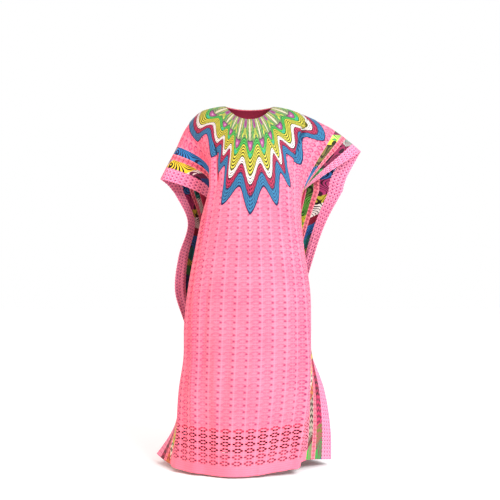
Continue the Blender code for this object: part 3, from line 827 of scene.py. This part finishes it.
def sunburst_material():
    """Wax-printed cotton: flat inks with slightly wandering edges, smooth and faintly glazed.

    The wave map counts the rays across and runs from the neck, 0, to the outer edge, 1. Rings of colour
    follow it, each crossed by its own fine dark lines, and beads 4 to 8 mm apart run along the lines.
    The weave is too fine to show, so it is drawn 1.4 mm wide.
    """
    material, tree, shader = start_material("wax_print_sunburst_cotton", 0.55, 0.10, "#FFFFFF")
    wave = add(tree, "ShaderNodeUVMap", uv_map="wave").outputs[0]
    cut = add(tree, "ShaderNodeUVMap", uv_map="cut").outputs[0]
    wander = add(tree, "ShaderNodeTexNoise", {"Vector": cut, "Scale": 60.0, "Detail": 1.0}).outputs[0]
    split = add(tree, "ShaderNodeSeparateXYZ", {0: wave}).outputs
    ring = calc(tree, "ADD", split[1], fade(tree, wander, 0.0, 1.0, -0.006, 0.006))
    color = steps(tree, ring, SUNBURST_INKS)
    beat = calc(tree, "SINE", calc(tree, "MULTIPLY", ring, 2.0 * pi / SUNBURST_PITCH))
    beads = calc(tree, "SINE", calc(tree, "MULTIPLY", split[0], 2.0 * pi * BEADS_TO_A_RAY))
    lines = fade(tree, beat, -0.20, 0.25)
    dotted = calc(tree, "MULTIPLY", lines, fade(tree, beads, -0.4, 0.3))
    amount = calc(tree, "MULTIPLY", lines, steps(tree, ring, LINE_STRENGTHS))
    amount = calc(tree, "ADD", amount, calc(tree, "MULTIPLY", dotted, steps(tree, ring, BEAD_STRENGTHS)))
    color = blend(tree, amount, color, steps(tree, ring, SUNBURST_LINES))
    lobe = calc(tree, "ABSOLUTE", calc(tree, "SUBTRACT", calc(tree, "FRACT", split[0]), 0.5))
    spots = add(tree, "ShaderNodeCombineXYZ", {0: lobe, 1: ring}).outputs[0]
    for middle, size, ink in NECK_MOTIFS:
        mask = fade(tree, oval_reach(tree, spots, middle, size), 1.05, 0.9)
        color = blend(tree, mask, color, ink)
    tree.links.new(color, shader.inputs["Base Color"])
    weave = add(tree, "ShaderNodeTexNoise", {"Vector": cut, "Scale": 700.0, "Detail": 1.0}).outputs[0]
    bump = add(tree, "ShaderNodeBump", {"Height": weave, "Strength": 0.25, "Distance": 0.0005}).outputs[0]
    tree.links.new(bump, shader.inputs["Normal"])
    return material


def band_material(name, inks):
    """Wax-printed cotton cut in strips: curved lines about 11 mm apart over grounds that change down it.

    For part of the repeat the lines run across in zigzags, 22 mm apart. The weave is drawn 1.4 mm wide.
    """
    material, tree, shader = start_material(name, 0.55, 0.10, "#FFFFFF")
    strip = add(tree, "ShaderNodeUVMap", uv_map="strip").outputs[0]
    split = add(tree, "ShaderNodeSeparateXYZ", {0: strip}).outputs
    warp = add(tree, "ShaderNodeTexNoise", {"Vector": strip, "Scale": 15.0, "Detail": 0.0}).outputs[0]
    along = calc(tree, "SUBTRACT", calc(tree, "MULTIPLY", split[0], 0.9), split[1])
    bent = calc(tree, "ADD", split[0], calc(tree, "MULTIPLY", split[1], 0.16))
    bent = calc(tree, "ADD", bent, fade(tree, warp, 0.2, 0.8, -0.045, 0.045))
    turn = calc(tree, "ADD", along, fade(tree, warp, 0.2, 0.8, -0.012, 0.012))
    turn = calc(tree, "FRACT", calc(tree, "MULTIPLY", turn, 1.0 / PRINT_REPEAT))
    ground = steps(tree, turn, [(place / PRINT_REPEAT, ink) for place, ink, _ in inks])
    wire = steps(tree, turn, [(place / PRINT_REPEAT, ink) for place, _, ink in inks])
    zigzag = calc(tree, "PINGPONG", split[0], ZIGZAG_HALF)
    zigzag = calc(tree, "MULTIPLY", calc(tree, "ADD", calc(tree, "MULTIPLY", zigzag, 1.3), split[1]), 0.5)
    low, high = (place / PRINT_REPEAT for place in CROSSWISE)
    across = calc(tree, "MULTIPLY", fade(tree, turn, low, low + 0.002), fade(tree, turn, high, high - 0.002))
    bent = calc(tree, "ADD", bent, calc(tree, "MULTIPLY", calc(tree, "SUBTRACT", zigzag, bent), across))
    beat = calc(tree, "SINE", calc(tree, "MULTIPLY", bent, 2.0 * pi / PRINT_PITCH))
    swell = add(tree, "ShaderNodeTexNoise", {"Vector": strip, "Scale": 26.0, "Detail": 0.0}).outputs[0]
    mask = fade(tree, calc(tree, "SUBTRACT", beat, fade(tree, swell, 0.3, 0.7, -0.35, 0.75)), -0.15, 0.15)
    tree.links.new(blend(tree, mask, ground, wire), shader.inputs["Base Color"])
    weave = add(tree, "ShaderNodeTexNoise", {"Vector": strip, "Scale": 700.0, "Detail": 1.0}).outputs[0]
    bump = add(tree, "ShaderNodeBump", {"Height": weave, "Strength": 0.25, "Distance": 0.0005}).outputs[0]
    tree.links.new(bump, shader.inputs["Normal"])
    return material


def dress(piece, material, node):
    """Gives a sheet its cloth and puts it in place of its solid."""
    piece.data.materials.append(material)
    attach(piece, "root")
    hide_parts(node)


def build_robe():
    """Every sheet of the robe."""
    panel_lace = lace_material("corded_lace_pink", "cut", LACE_CELL,
                               (0.5 * LACE_CELL[0], -HEM_MARGIN - 0.5 * LACE_CELL[1]), LACE_HOLES,
                               LACE_SHADOW_SPOT, HEM_MARGIN, LACE_INKS, (0.13, 0.25))
    insertion_lace = lace_material("insertion_lace_pink", "strip", INSERTION_CELL,
                                   (-0.5 * INSERTION, 0.0), INSERTION_HOLES, INSERTION_SHADOW_SPOT,
                                   -1.0, INSERTION_INKS, (-2.0, -1.0))
    edging_lace = lace_material("eyelet_lace_edging_pink", "strip", EDGING_CELL, (0.0, 0.0),
                                EDGING_HOLES, EDGING_SHADOW_SPOT, -1.0, EDGING_INKS, (-2.0, -1.0))
    lining = lining_material()
    sunburst = sunburst_material()
    inner_print = band_material("wax_print_inner_cotton", INNER_PRINT)
    outer_print = band_material("wax_print_outer_cotton", OUTER_PRINT)
    strips = (
        ("inner_band", INNER_BAND, inner_print, "wax_print_inner", 0.0),
        ("insertion", INSERTION, insertion_lace, "pink_lace", 0.0),
        ("outer_band", OUTER_BAND, outer_print, "wax_print_outer", 0.0),
        ("edging", EDGING, edging_lace, "lace_edging", SCALLOP_DEPTH),
    )
    for kind, layer in LAYERS.items():
        panel = lace_panel(f"{kind}_panel_lace", layer)
        dress(panel, panel_lace, f"{kind}_panel")
        under = lining_sheet(f"{kind}_lining_cloth", layer, LINING_ENDS[kind])
        dress(under, lining, f"{kind}_lining")
        yoke = yoke_sheet(f"{kind}_yoke_print", layer)
        dress(yoke, sunburst, f"yoke_{kind}")
        for side, turn in (("right", -1.0), ("left", 1.0)):
            near = PANEL_HALF + SEAM
            for strip, width, material, slot, scallop in strips:
                node = f"{side}_{kind}_{strip}"
                start = PRINT_STARTS.get(node, -LENGTH)
                piece = strip_sheet(f"{node}_cloth", layer, turn, near, width - SEAM, scallop, start)
                dress(piece, material, node)
                near += width


def add_area_light(name, place, aim, size, power, color):
    """Soft square studio light turned to a point."""
    data = bpy.data.lights.new(name, "AREA")
    data.size, data.energy, data.color = size, power, color
    lamp = bpy.data.objects.new(name, data)
    lamp.location = place
    lamp.rotation_euler = (Vector(aim) - Vector(place)).to_track_quat("-Z", "Y").to_euler()
    bpy.context.scene.collection.objects.link(lamp)


def build_stage():
    """Pale floor, white room with a pale warm wall on one side, soft light and the camera."""
    scene = bpy.context.scene
    scene.view_settings.view_transform = "Standard"
    world = bpy.data.worlds.new("studio")
    world.use_nodes = True
    tree = world.node_tree
    place = add(tree, "ShaderNodeTexCoord").outputs["Generated"]
    toward = add(tree, "ShaderNodeSeparateXYZ", {0: place}).outputs
    sideways = calc(tree, "MULTIPLY", toward[0], 0.8)
    turn = calc(tree, "ADD", sideways, calc(tree, "MULTIPLY", toward[1], 0.6))
    level = fade(tree, toward[2], 0.60, 0.25)
    air = blend(tree, calc(tree, "MULTIPLY", fade(tree, turn, 0.35, -0.30), level), "#FFFFFF", WALL_TINT)
    tree.links.new(air, tree.nodes["Background"].inputs["Color"])
    tree.nodes["Background"].inputs["Strength"].default_value = 1.0
    scene.world = world
    bpy.ops.object.select_all(action="DESELECT")
    bpy.ops.mesh.primitive_plane_add(size=24.0, location=(0.0, 0.0, cad_box[0][2] - FLOOR_SPACE))
    floor = bpy.context.object
    floor.name = "floor"
    # Matt white paper; its faint glow keeps it even with the air behind it
    paper = bpy.data.materials.new("studio_paper_white")
    paper.use_nodes = True
    shader = paper.node_tree.nodes["Principled BSDF"]
    shader.inputs["Base Color"].default_value = hex_color("#FEFEFE")
    shader.inputs["Roughness"].default_value = 0.9
    shader.inputs["Emission Color"].default_value = (1.0, 1.0, 1.0, 1.0)
    shader.inputs["Emission Strength"].default_value = 0.07
    floor.data.materials.append(paper)
    for light in LIGHTS:
        add_area_light(*light)
    camera = bpy.data.cameras.new("camera")
    camera.lens, camera.sensor_width = CAMERA_LENS, CAMERA_SENSOR
    viewer = bpy.data.objects.new("camera", camera)
    viewer.location = CAMERA_PLACE
    viewer.rotation_euler = (radians(90.0), 0.0, 0.0)
    scene.collection.objects.link(viewer)
    scene.camera = viewer


build_robe()
build_stage()
bpy.context.view_layer.update()
